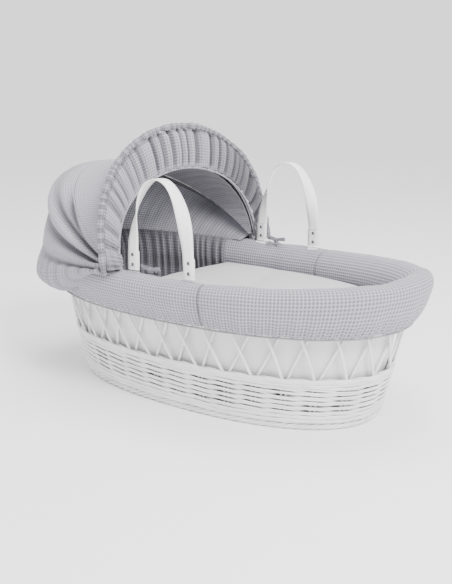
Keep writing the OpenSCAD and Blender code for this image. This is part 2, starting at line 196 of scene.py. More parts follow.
class Shape:
    """Gathers closed surfaces, with a painted shade value (1 for none, lower is darker) and a cloth position
    at each point, and makes one object.
    """

    def __init__(self):
        self.v, self.q, self.t, self.tone, self.cloth = [], [], [], [], []
        self.n = 0

    def add(self, verts, quads, tris=None, tone=None, cloth=None):
        verts = np.asarray(verts, float).reshape(-1, 3)
        quads = np.asarray(quads, int).reshape(-1, 4)
        tris = np.zeros((0, 3), int) if tris is None else np.asarray(tris, int).reshape(-1, 3)
        a, b, c, d = (verts[quads[:, k]] for k in range(4))
        volume = np.einsum("ij,ij->i", a, np.cross(b, c) + np.cross(c, d)).sum()
        a, b, c = (verts[tris[:, k]] for k in range(3))
        volume += np.einsum("ij,ij->i", a, np.cross(b, c)).sum()
        if volume < 0:
            quads, tris = quads[:, ::-1], tris[:, ::-1]
        self.v.append(verts)
        self.q.append(quads + self.n)
        self.t.append(tris + self.n)
        self.tone.append(np.ones(len(verts)) if tone is None else np.asarray(tone, float).ravel())
        self.cloth.append(np.zeros((len(verts), 2)) if cloth is None
                          else np.asarray(cloth, float).reshape(-1, 2))
        self.n += len(verts)

    def build(self, name, material, body, nodes=()):
        v = np.concatenate(self.v)
        q, t = np.concatenate(self.q), np.concatenate(self.t)
        me = bpy.data.meshes.new(name)
        me.vertices.add(len(v))
        me.vertices.foreach_set("co", v.astype(np.float32).ravel())
        me.loops.add(q.size + t.size)
        me.loops.foreach_set("vertex_index", np.concatenate([q.ravel(), t.ravel()]).astype(np.int32))
        me.polygons.add(len(q) + len(t))
        starts = np.concatenate([np.arange(len(q)) * 4, q.size + np.arange(len(t)) * 3])
        me.polygons.foreach_set("loop_start", starts.astype(np.int32))
        me.update(calc_edges=True)
        me.validate()
        me.polygons.foreach_set("use_smooth", np.ones(len(me.polygons), bool))
        tone = me.attributes.new("tone", "FLOAT", "POINT")
        tone.data.foreach_set("value", np.concatenate(self.tone).astype(np.float32))
        cloth = me.attributes.new("cloth", "FLOAT_VECTOR", "POINT")
        uv = np.concatenate(self.cloth)
        uvw = np.column_stack([uv, np.zeros(len(uv))])
        cloth.data.foreach_set("vector", uvw.astype(np.float32).ravel())
        me.materials.append(material)
        obj = bpy.data.objects.new(name, me)
        bpy.context.collection.objects.link(obj)
        if body:
            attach(obj, body)
        if nodes:
            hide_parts(*nodes)
        return obj


def grid_quads(n, m, wrap_n=False, wrap_m=False):
    i = np.arange(n if wrap_n else n - 1)[:, None]
    j = np.arange(m if wrap_m else m - 1)[None, :]
    i2, j2 = (i + 1) % n, (j + 1) % m
    return np.stack([i * m + j, i2 * m + j, i2 * m + j2, i * m + j2], -1).reshape(-1, 4)


def fan(loop, centre, flip=False):
    nxt = np.roll(loop, -1)
    tris = np.stack([loop, nxt, np.full(len(loop), centre)], -1)
    return tris[:, ::-1] if flip else tris


def end_caps(n, m):
    """Triangles that close the first and last of n rings of m points, round two points added after them."""
    base = np.arange(m)
    return np.concatenate([fan(base, n * m, True), fan(base + (n - 1) * m, n * m + 1)])


def grid(*parts):
    """Coordinates of the same or matching shapes as one grid of points."""
    return np.stack(np.broadcast_arrays(*parts), -1)


def run_length(path):
    """Distance along a path at each of its points."""
    return np.concatenate([[0], np.cumsum(np.linalg.norm(np.diff(path, axis=0), axis=1))])


def spline(a, b, c, d, f):
    """The smooth line between b and c, where a comes before them and d after."""
    return 0.5 * (2 * b + (c - a) * f + (2 * a - 5 * b + 4 * c - d) * f ** 2
                  + (3 * b - a - 3 * c + d) * f ** 3)


DOME = 0.5              # how far a rod's end bulges, in radii


def tube(shape, path, radius, sides=8, closed=False, ref=(0, 0, 1), tone=1.0):
    """A round rod along a path; ref is roughly across the path."""
    path = np.asarray(path, float)
    n = len(path)
    if closed:
        tan = unit(np.roll(path, -1, 0) - np.roll(path, 1, 0))
    else:
        tan = unit(np.gradient(path, axis=0))
    ref = np.broadcast_to(np.asarray(ref, float), path.shape)
    side = unit(np.cross(tan, ref))
    up = np.cross(side, tan)
    a = np.arange(sides) * 2 * np.pi / sides
    r = np.broadcast_to(np.asarray(radius, float), (n,))[:, None, None]
    ring = path[:, None] + r * (np.cos(a)[None, :, None] * side[:, None]
                                + np.sin(a)[None, :, None] * up[:, None])
    verts = ring.reshape(-1, 3)
    quads = grid_quads(n, sides, closed, True)
    tones = np.repeat(np.broadcast_to(np.asarray(tone, float), (n,)), sides)
    run = run_length(path)
    around = np.broadcast_to(a * np.mean(r), (n, sides))
    cloth = np.stack([np.repeat(run, sides), around.ravel()], -1)
    tris = None
    if not closed:
        ends = np.array([path[0] - tan[0] * r[0, 0, 0] * DOME, path[-1] + tan[-1] * r[-1, 0, 0] * DOME])
        verts = np.concatenate([verts, ends])
        tones = np.concatenate([tones, [tones[0], tones[-1]]])
        cloth = np.concatenate([cloth, [[0, 0], [run[-1], 0]]])
        tris = end_caps(n, sides)
    shape.add(verts, quads, tris, tones, cloth)


def slab(shape, top, bottom, wrap_n=False, tone=None, tone_back=None, cloth=None):
    """A closed sheet between two grids of the same size; wrap_n joins its first row to its last."""
    n, m = top.shape[:2]
    verts = np.concatenate([top.reshape(-1, 3), bottom.reshape(-1, 3)])
    quads = grid_quads(n, m, wrap_n)
    off = n * m
    parts = [quads, quads[:, ::-1] + off]
    i = np.arange(n if wrap_n else n - 1)
    i2 = (i + 1) % n
    for j, flip in ((0, False), (m - 1, True)):
        a, b = i * m + j, i2 * m + j
        edge = np.stack([b, a, a + off, b + off], -1)
        parts.append(edge[:, ::-1] if flip else edge)
    if not wrap_n:
        j = np.arange(m - 1)
        for row, flip in ((0, False), (n - 1, True)):
            a, b = row * m + j, row * m + j + 1
            edge = np.stack([a, b, b + off, a + off], -1)
            parts.append(edge[:, ::-1] if flip else edge)
    one = np.ones((n, m))
    front = one if tone is None else tone
    back = front if tone_back is None else tone_back
    tones = np.concatenate([(front * one).ravel(), (back * one).ravel()])
    uv = np.zeros((n, m, 2)) if cloth is None else cloth
    shape.add(verts, np.concatenate(parts), None, tones, np.concatenate([uv.reshape(-1, 2)] * 2))


def grid_normals(p):
    return unit(np.cross(np.gradient(p, axis=0), np.gradient(p, axis=1)))


def outward_normals(p):
    """Normals of a sheet of the hood, turned away from the pivots."""
    nrm = grid_normals(p)
    i, j = p.shape[0] // 2, p.shape[1] // 2
    return -nrm if nrm[i, j] @ (p[i, j] - np.array([PIVOT_X, 0, PIVOT_Z])) < 0 else nrm


def cloth_area(p, wrap_n=False):
    """Area of a grid of points, in square metres."""
    if wrap_n:
        p = np.concatenate([p, p[:1]])
    e1, e2 = p[1:, 1:] - p[:-1, :-1], p[:-1, 1:] - p[1:, :-1]
    return float(np.linalg.norm(np.cross(e1, e2), axis=-1).sum() / 2)


# ---- materials ----


class Nodes:
    """A short way to write a material's nodes."""

    def __init__(self, name):
        self.mat = bpy.data.materials.new(name)
        self.mat.use_nodes = True
        self.tree = self.mat.node_tree
        self.tree.nodes.clear()
        self.out = self.tree.nodes.new("ShaderNodeOutputMaterial")
        self.bsdf = self.tree.nodes.new("ShaderNodeBsdfPrincipled")
        self.link(self.bsdf.outputs[0], self.out.inputs[0])

    def link(self, a, b):
        self.tree.links.new(a, b)

    def put(self, socket, value):
        if isinstance(value, bpy.types.NodeSocket):
            self.link(value, socket)
        else:
            socket.default_value = value

    def set(self, **values):
        for key, value in values.items():
            self.put(self.bsdf.inputs[key.replace("_", " ")], value)

    def attribute(self, name, out="Fac"):
        node = self.tree.nodes.new("ShaderNodeAttribute")
        node.attribute_name = name
        return node.outputs[out]

    def place(self):
        node = self.tree.nodes.new("ShaderNodeTexCoord")
        return node.outputs["Object"]

    def scale(self, vector, by):
        node = self.tree.nodes.new("ShaderNodeVectorMath")
        node.operation = "MULTIPLY"
        self.link(vector, node.inputs[0])
        node.inputs[1].default_value = by
        return node.outputs[0]

    def noise(self, vector, scale, detail=3.0):
        node = self.tree.nodes.new("ShaderNodeTexNoise")
        node.inputs["Scale"].default_value = scale
        node.inputs["Detail"].default_value = detail
        node.inputs["Roughness"].default_value = 0.55
        self.link(vector, node.inputs["Vector"])
        return node.outputs["Fac"]

    def math(self, op, a, b=0.0):
        node = self.tree.nodes.new("ShaderNodeMath")
        node.operation = op
        self.put(node.inputs[0], a)
        self.put(node.inputs[1], b)
        return node.outputs[0]

    def axes(self, vector):
        node = self.tree.nodes.new("ShaderNodeSeparateXYZ")
        self.link(vector, node.inputs[0])
        return node.outputs

    def fit(self, value, a, b, low, high):
        node = self.tree.nodes.new("ShaderNodeMapRange")
        self.link(value, node.inputs["Value"])
        for key, number in (("From Min", a), ("From Max", b), ("To Min", low), ("To Max", high)):
            node.inputs[key].default_value = number
        return node.outputs[0]

    def mix(self, fac, a, b):
        node = self.tree.nodes.new("ShaderNodeMix")
        node.data_type = "RGBA"
        self.put(node.inputs[0], fac)
        self.put(node.inputs[6], a)
        self.put(node.inputs[7], b)
        return node.outputs[2]

    def bump(self, height, distance, strength=1.0, over=None):
        node = self.tree.nodes.new("ShaderNodeBump")
        node.inputs["Distance"].default_value = distance
        node.inputs["Strength"].default_value = strength
        self.link(height, node.inputs["Height"])
        if over is not None:
            self.link(over, node.inputs["Normal"])
        return node.outputs[0]


def rgb(r, g, b):
    return (r, g, b, 1.0)


def willow():
    """Willow rods under two coats of white paint: fine grain along the rod, and painted shade that turns the
    rods grey to near black in the low places.
    """
    k = Nodes("painted_willow")
    cloth = k.attribute("cloth", "Vector")
    grain = k.noise(k.scale(cloth, (40, 900, 1)), 1.0, 4.0)
    blotch = k.noise(k.place(), 22.0, 3.0)
    lit = k.mix(k.fit(blotch, 0.35, 0.7, 0, 1), rgb(0.74, 0.74, 0.76), rgb(0.84, 0.84, 0.85))
    worn = k.mix(k.fit(grain, 0.60, 0.75, 0, 0.25), lit, rgb(0.60, 0.58, 0.55))
    # Painted shade: a low shade value takes the colour towards near black.
    tone = k.attribute("tone")
    k.set(Base_Color=k.mix(k.fit(tone, 0, 1, 1, 0), worn, rgb(0.10, 0.10, 0.115)))
    k.set(Roughness=k.fit(grain, 0.3, 0.7, 0.38, 0.58), IOR=1.46)
    k.set(Normal=k.bump(grain, 0.0006, 0.7))
    return k.mat


WAFFLE = 0.0062         # one cell of the waffle cloth
WAFFLE_RELIEF = 0.0010  # depth of its pits where they are shading only


def waffle(name, ridge, pit):
    """Woven waffle cotton: raised ridges round square pits, and fine threads across both; the pits' darker
    colour and the darkening by the shade value are painted shade.
    """
    k = Nodes(name)
    cloth = k.attribute("cloth", "Vector")
    u, v, _ = k.axes(k.scale(cloth, (math.pi / WAFFLE, math.pi / WAFFLE, 1)))
    across = k.math("MULTIPLY", k.math("ABSOLUTE", k.math("SINE", u)), k.math("ABSOLUTE", k.math("SINE", v)))
    hollow = k.math("POWER", across, 0.9)
    thread = k.noise(k.scale(cloth, (1800, 1800, 1)), 1.0, 2.0)
    cloud = k.noise(k.place(), 9.0, 3.0)
    base = k.mix(k.fit(cloud, 0.3, 0.7, 0, 0.35), ridge, tuple(c * 0.86 for c in ridge[:3]) + (1,))
    # Painted shade: the pits take the darker pit colour.
    weave = k.mix(k.math("MULTIPLY", hollow, 0.85), base, pit)
    # Painted shade: a low shade value takes the colour towards a dark grey.
    tone = k.attribute("tone")
    k.set(Base_Color=k.mix(k.fit(tone, 0, 1, 1, 0), weave, tuple(c * 0.30 for c in pit[:3]) + (1,)))
    k.set(Roughness=0.92, Sheen_Weight=0.25, Sheen_Roughness=0.5, IOR=1.4)
    k.bsdf.inputs["Specular IOR Level"].default_value = 0.25
    rise = k.math("SUBTRACT", 1.0, hollow)
    k.set(Normal=k.bump(thread, 0.0002, 0.5, k.bump(rise, WAFFLE_RELIEF, 0.8)))
    return k.mat


def cotton(name, light, dark, weave=1400):
    """Plain-weave cotton: fine threads both ways, faint slubs and soft creases, and painted shade where the
    shade value is low.
    """
    k = Nodes(name)
    cloth = k.attribute("cloth", "Vector")
    u, v, _ = k.axes(k.scale(cloth, (weave * math.pi, weave * math.pi, 1)))
    threads = k.math("ADD", k.math("ABSOLUTE", k.math("SINE", u)), k.math("ABSOLUTE", k.math("SINE", v)))
    slub = k.noise(k.scale(k.place(), (1, 1, 3)), 60.0, 3.0)
    cloud = k.noise(k.place(), 7.0, 3.0)
    tint = k.mix(k.fit(cloud, 0.3, 0.7, 0, 1), light, dark)
    # Painted shade: a low shade value takes the colour towards a dark grey.
    tone = k.attribute("tone")
    k.set(Base_Color=k.mix(k.fit(tone, 0, 1, 1, 0), tint, tuple(c * 0.25 for c in dark[:3]) + (1,)))
    k.set(Roughness=0.9, Sheen_Weight=0.2, Sheen_Roughness=0.5)
    k.bsdf.inputs["Specular IOR Level"].default_value = 0.25
    k.set(Normal=k.bump(threads, 0.0001, 0.5, k.bump(slub, 0.0004, 0.5)))
    return k.mat


def leathercloth():
    k = Nodes("white_leathercloth")
    grain = k.noise(k.place(), 900.0, 3.0)
    cloud = k.noise(k.place(), 30.0, 2.0)
    k.set(Base_Color=k.mix(k.fit(cloud, 0.3, 0.7, 0, 1), rgb(0.86, 0.86, 0.85), rgb(0.93, 0.93, 0.92)))
    k.set(Roughness=k.fit(grain, 0.3, 0.7, 0.34, 0.5), Coat_Weight=0.15, Coat_Roughness=0.3)
    k.set(Normal=k.bump(grain, 0.0003, 0.4))
    return k.mat


def metal(name, colour, rough, brushed=(1, 1, 30)):
    k = Nodes(name)
    brush = k.noise(k.scale(k.place(), brushed), 90.0, 3.0)
    spots = k.noise(k.place(), 260.0, 2.0)
    k.set(Base_Color=k.mix(k.fit(spots, 0.45, 0.75, 0, 0.6), colour,
                           tuple(c * 0.6 for c in colour[:3]) + (1,)))
    k.set(Metallic=1.0, Roughness=k.fit(brush, 0.3, 0.7, rough * 0.8, rough * 1.25))
    k.set(Normal=k.bump(brush, 0.0001, 0.3))
    return k.mat


M_WILLOW = willow()
# Each waffle is given a ridge colour and a darker pit colour; the pit colour is painted shade.
M_WAFFLE = waffle("grey_waffle", rgb(0.465, 0.455, 0.505), rgb(0.17, 0.163, 0.205))
# A darker copy of the grey waffle for the hood's inside, the head panel and the hoop casing: painted shade.
M_WAFFLE_SHADED = waffle("grey_waffle_inside_painted_shade", rgb(0.40, 0.39, 0.425), rgb(0.12, 0.115, 0.145))
# A slightly darker copy of the grey waffle for the frill and its heading: painted shade.
M_WAFFLE_FRILL_SHADED = waffle("grey_waffle_frill_painted_shade", rgb(0.44, 0.432, 0.475), rgb(0.15, 0.145, 0.175))
# A much lighter copy of the grey waffle for the hood's back lining: painted light.
M_WAFFLE_LIT = waffle("grey_waffle_back_painted_light", rgb(0.74, 0.73, 0.79), rgb(0.20, 0.195, 0.235))
M_LINING = cotton("white_cotton", rgb(0.77, 0.765, 0.76), rgb(0.71, 0.705, 0.705))
M_COVERLET = cotton("pale_cotton", rgb(0.52, 0.52, 0.535), rgb(0.485, 0.485, 0.50))
M_RIBBON = cotton("grey_ribbon", rgb(0.27, 0.265, 0.30), rgb(0.20, 0.195, 0.23), 2200)
M_MATTRESS = cotton("mattress_cotton", rgb(0.86, 0.86, 0.86), rgb(0.80, 0.80, 0.81), 1000)
M_ELASTIC = cotton("elastic_braid", rgb(0.52, 0.52, 0.55), rgb(0.45, 0.45, 0.48), 900)
M_STRAP = leathercloth()
M_RIVET = metal("rivet_metal", rgb(0.16, 0.16, 0.17), 0.25, (1, 1, 1))
M_STEEL = metal("zinc_steel", rgb(0.62, 0.62, 0.63), 0.32)


def repaint(node, material):
    """Give a carried-over CAD node its finished material."""
    obj = next(o for o in bpy.data.objects if o.get("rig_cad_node") == node or o.name == node)
    obj.data.materials.clear()
    obj.data.materials.append(material)


# ---- willow basket ----

STAKE_R = 0.0026
LEAN = 1.15             # how many spacings a leaning stake is carried round; the CAD has 1.0
STAKE_SIDE = 0.0042     # half the distance between the two stakes of a pair
ROD_STEPS = 12          # points along a woven rod between two pairs of stakes


# Rows of the weave, each (height, pitch, pairs per stroke, rod radius, reach in front of the wall).
LOW_ROWS = [(0.0185, 0.0078, 4, 0.0023, 0.0044), (0.0262, 0.0078, 4, 0.0022, 0.0044)]
BAND_PITCH = 0.0098
BAND_ROWS = [(0.0345 + BAND_PITCH * k, BAND_PITCH, 3, 0.0020, 0.0043) for k in range(6)]
WALE_ROWS = [(0.0905, 0.0072, 3, 0.0021, 0.0045), (0.0966, 0.0096, 4, 0.0026, 0.0047)]
RIM_ROWS = [(0.2235, 0.006, 3, 0.0022, 0.0045), (0.2265, 0.006, 3, 0.0022, 0.0045)]


def woven_rows(shape, height, rows, seed):
    """Rows of waling: each rod passes in front of m-1 pairs of stakes and behind one.
    rows is a list of (z, pitch, m, radius, reach); height is the share of the rim's rise."""
    for number, (z, pitch, m, radius, reach) in enumerate(rows):
        loops = math.gcd(PAIRS, m)
        pairs = PAIRS * m // loops
        sway, fat = Wobble(seed + number, 6, 2), Wobble(seed + 50 + number, 9, 5)
        for j in range(loops):
            u = np.arange(pairs * ROD_STEPS) / ROD_STEPS
            phase = ((u + j + number) / m) % 1.0
            edge = 0.30 / m
            front = np.tanh(3.4 * (np.cos(2 * np.pi * edge) - np.cos(2 * np.pi * phase)))
            fall = np.interp(phase, [0, edge, 1 - edge, 1], [0, 1, -1, 0])
            fall = sum(np.roll(fall, s) for s in (-2, -1, 0, 1, 2)) / 5
            lift = pitch * (m - 1) / (2 * m) * fall
            share = (u + 0.5) / PAIRS
            run = share / m * loops
            out = reach * front + 0.0004 * fat(run)
            zz = z + lift + 0.0008 * sway(run) + 0.0005 * Wobble(seed + 90 + number + j, 20, 30)(run)
            path = wall(angle(share), out, zz, height)
            thick = radius * (1 + 0.09 * fat(run + 0.3))
            # Painted shade: the rod is darker where it passes behind the stakes.
            tube(shape, path, thick, 7, True, tone=0.30 + 0.70 * smooth(front, -0.9, 0.35))


def upright_rods():
    shape = Shape()
    for i in range(PAIRS):
        for s in (-1, 1):
            t = angle((i + 0.5) / PAIRS + s * STAKE_SIDE / PERIMETER)
            z = np.linspace(FOOT_H, BAND_TOP, 10)
            # Painted shade: the stakes behind the close weave are darkened.
            tube(shape, wall(t, 0.0, z), STAKE_R * 0.95, 8, ref=(1, 0.3, 0), tone=0.55)
    shape.build("upright_rods", M_WILLOW, "basket", ["upright_stakes"])


def close_weave():
    band = Shape()
    woven_rows(band, 0.0, LOW_ROWS + BAND_ROWS, 11)
    band.build("close_weave", M_WILLOW, "basket", ["lower_band"])
    wale = Shape()
    woven_rows(wale, 0.0, WALE_ROWS, 31)
    wale.build("top_wale", M_WILLOW, "basket", ["lower_wale"])
    high = Shape()
    woven_rows(high, 1.0, RIM_ROWS, 47)
    high.build("rim_wale", M_WILLOW, "basket", ["upper_wale"])


def rope(name, nodes, d, z, s, strand_r, coil_r, strands, turns, seed):
    """A rolled border: strands laid round each other along the oval."""
    shape = Shape()
    share = np.arange(1500) / 1500
    for k in range(strands):
        a = 2 * np.pi * (k / strands + turns * share)
        wob = Wobble(seed + k, 6, 3)
        path = wall(angle(share), d + coil_r * np.cos(a), z + coil_r * np.sin(a), s)
        tube(shape, path, strand_r * (1 + 0.06 * wob(share)), 9, True)
    shape.build(name, M_WILLOW, "basket", nodes)


def cross_rods():
    """The leaning stakes between the two wales, tapered and slightly bent."""
    rng = np.random.default_rng(5)
    low_z, top_z = WALE_TOP - 0.008, BORDER_Z - BORDER_R + 0.010
    for name, node, lean, d in (("outer_cross_rods", "outer_cross_stakes", -1, 0.0031),
                                ("inner_cross_rods", "inner_cross_stakes", 1, -0.0031)):
        shape = Shape()
        for i in range(PAIRS):
            k = np.linspace(0, 1, 22)
            first = (i + 0.5) / PAIRS + np.sign(lean) * STAKE_SIDE / PERIMETER
            bend, side = rng.normal(0, 0.0016), rng.normal(0, 0.0022)
            share = first + (LEAN * lean / PAIRS) * k + side / PERIMETER * np.sin(np.pi * k) * 2
            z = low_z + (top_z - low_z) * k
            path = wall(angle(share), d + bend * 0.25 * np.sin(2 * np.pi * k), z, k)
            radius = STAKE_R * (1.06 - 0.14 * k) * (1 + 0.03 * np.sin(9 * k + i))
            # Painted shade: the lower end of each stake, where it enters the wale, is darkened.
            tube(shape, path, radius, 9, ref=(1, 0.3, 0), tone=np.clip(0.55 + 6 * k, 0, 1))
        shape.build(name, M_WILLOW, "basket", [node])


def woven_base():
    """The base seen from below: ovals of rods worked over the cross sticks."""
    shape = Shape()
    a0, b0, step = BASE_A - 0.0138, BASE_B - 0.0138, 0.0051
    count = int(b0 / step)
    for k in range(count):
        a, b = a0 - k * step, b0 - k * step
        t = np.radians(np.arange(240) * 1.5)
        x, y = a * spow(np.cos(t), 2 / OVAL_N), b * spow(np.sin(t), 2 / OVAL_N)
        ride = 0.0005 * np.cos(np.pi * x / 0.08 + np.pi * (k % 2))
        tube(shape, np.stack([x, y, 0.0030 + ride], -1), 0.0024, 7, True)
    core = a0 - count * step
    x = np.linspace(-core, core, 60)
    tube(shape, np.stack([x, 0 * x, 0 * x + 0.003], -1), 0.0024, 7)
    shape.build("woven_base", M_WILLOW, "basket", ["base_weave"])


# ---- linings ----


def side_lining():
    """White cotton inside the willow: it hangs in soft gathers and swells out between the stakes."""
    shape = Shape()
    cols, rows = 960, 60
    share = np.arange(cols) / cols
    z = np.linspace(FOOT_H + 0.002, BORDER_Z - BORDER_R - 0.014, rows)
    wob, wide = Wobble(71, 14, 18), Wobble(72, 8, 4)
    cell = 0.5 - 0.5 * np.cos(2 * np.pi * (share * PAIRS))
    hang = smooth(z, 0.08, 0.14) * (1 - smooth(z, 0.19, 0.225))
    out = (-0.0092 + 0.0022 * np.sqrt(cell)[:, None] * hang[None] + 0.0006 * wob(share)[:, None]
           * (0.3 + 0.7 * hang[None]) + 0.0006 * wide(share)[:, None])
    top = wall(angle(share)[:, None], out, z[None], smooth(z, 0.05, 0.22)[None])
    back = wall(angle(share)[:, None], out - 0.0016, z[None], smooth(z, 0.05, 0.22)[None])
    shade = smooth(z, 0.078, 0.098)     # painted shade behind the weave
    uv = grid(share[:, None] * PERIMETER, z[None])
    slab(shape, top, back, True, shade[None] * np.ones((cols, 1)), None, uv)
    obj = shape.build("cotton_side_lining", M_LINING, "basket", ["side_lining"])


def floor_lining():
    shape = Shape()
    a, b = BASE_A - 0.018, BASE_B - 0.016
    rings, cols = 40, 240
    r = np.linspace(0.004, 1, rings)[None, :]
    t = np.radians(np.arange(cols) * 360 / cols)[:, None]
    x, y = a * r * spow(np.cos(t), 2 / OVAL_N), b * r * spow(np.sin(t), 2 / OVAL_N)
    rng = np.random.default_rng(8)
    z = FOOT_H + 0.0012 + 0 * x
    for _ in range(8):
        kx, ky, p = rng.normal(0, 40), rng.normal(0, 40), rng.uniform(0, 6)
        z = z + 0.00010 * np.sin(kx * x + ky * y + p)
    top = np.stack([x, y, z + 0.0008], -1)
    base = np.stack([x, y, z], -1)
    slab(shape, top, base, True, None, None, np.stack([x, y], -1))
    obj = shape.build("cotton_floor_lining", M_LINING, "basket", ["floor_lining"])


def smooth_line(points, count):
    """Points spaced evenly along a smooth line through the ones given."""
    p = np.asarray(points, float)
    q = np.concatenate([[2 * p[0] - p[1]], p, [2 * p[-1] - p[-2]]])
    f = np.linspace(0, 1, 24, endpoint=False)[:, None]
    fine = [spline(a, b, c, d, f) for a, b, c, d in zip(q, q[1:], q[2:], q[3:])]
    fine = np.concatenate(fine + [p[-1:]])
    run = run_length(fine[:, :2])
    even = np.linspace(0, run[-1], count)
    return np.stack([np.interp(even, run, fine[:, c]) for c in range(fine.shape[1])], -1), even


# From the mattress up the lining and over the inner face of the pad: offset, height, rise share.
PANEL = np.array([[-14.6, 63, 0.2], [-14.8, 120, 0.5], [-15.5, 178, 0.85], [-21.5, 199, 1], [-28.6, 218, 1],
                  [-29.0, 238, 1], [-23.5, 253, 1], [-13.0, 263.5, 1]]) * [MM, MM, 1.0]


def gathered_panel():
    """Grey waffle cloth gathered round the head end, from the mattress to the crest of the rim."""
    shape = Shape()
    cols, rows = 620, 84
    s = np.linspace(share_of(107.5), share_of(252.5), cols)
    (line, girth) = smooth_line(PANEL, rows)
    d, z, rise = line.T
    nd, nz = np.gradient(z), -np.gradient(d)
    size = np.hypot(nd, nz)
    nd, nz = -nd / size, -nz / size
    run = (s - s[0]) * PERIMETER
    pleat = np.sin(2 * np.pi * run / 0.017 + 1.6 * Wobble(81, 6, 3)(s * 2))
    fine = np.sin(2 * np.pi * run / 0.0075 + 2 * Wobble(82, 6, 3)(s * 2))
    deep = (0.45 + 0.55 * smooth(z, 0.07, 0.19)) * (1 - 0.6 * smooth(z, 0.245, 0.263))
    push = 0.0018 * pleat[:, None] * deep[None] + 0.0004 * fine[:, None]
    seat = 0.0006 + 0.0018 * deep[None]

    def layer(extra):
        out = push + seat + extra
        return wall(angle(s)[:, None], d[None] + out * nd[None], z[None] + out * nz[None], rise[None])

    inner, outer = layer(0.0), layer(-0.0014)
    # Painted shade: the whole panel is darkened, most in the pleat valleys.
    tone = np.clip(0.46 + 0.26 * pleat[:, None] * deep[None], 0, 1)
    uv = grid(run[:, None] * 1.5, girth[None])
    slab(shape, inner, outer, False, tone, None, uv)
    obj = shape.build("gathered_head_panel", M_WAFFLE_SHADED, "basket", ["head_gathered_panel"])


# ---- padded rim ----

# The pad's cross-section: offset from the wall, height, share of the rim's rise.
PAD = np.array([
    [-21, 206, 1], [-12.5, 204, 1], [-12, 238, 1], [-10.5, 247, 1], [-5, 252, 1], [5, 252, 1],
    [11, 247, 1], [12, 238, 1], [12, 215, 0.7], [13.5, 189, 0.15], [18.5, 186.5, 0.15], [25.5, 198, 0.3],
    [31.5, 213, 0.5], [35, 229, 0.8], [35, 241, 0.95], [31, 252, 1], [21, 261, 1], [6, 264, 1],
    [-9, 261.5, 1], [-19.5, 252, 1], [-26, 239, 1], [-26.5, 222, 1]]) * [MM, MM, 1.0]
PAD_RELIEF = 0.0011


def pad_section(step):
    """The section as a smooth closed curve, with points about one step apart where it shows."""
    p = PAD
    k = np.arange(len(p))
    fine = []
    for i in k:
        a, b, c, d = (p[(i + o) % len(p)] for o in (-1, 0, 1, 2))
        hidden = 1 <= i <= 8
        length = np.linalg.norm((c - b)[:2])
        count = max(1, int(round(length / (step * (4 if hidden else 1)))))
        f = (np.arange(count) / count)[:, None]
        fine.append(b + (c - b) * f if hidden else spline(a, b, c, d, f))
    return np.concatenate(fine)


def handle_shares(side):
    """Where the two feet of the handle on that side stand, as shares of the way round."""
    ring = wall(ARC_T, 0.0, BORDER_TOP)
    found = []
    for x in (HANDLE_X - HANDLE_HALF, HANDLE_X + HANDLE_HALF):
        ok = np.sign(ring[:, 1]) == side
        found.append(ARC_S[np.where(ok, np.abs(ring[:, 0] - x), 9).argmin()])
    return found


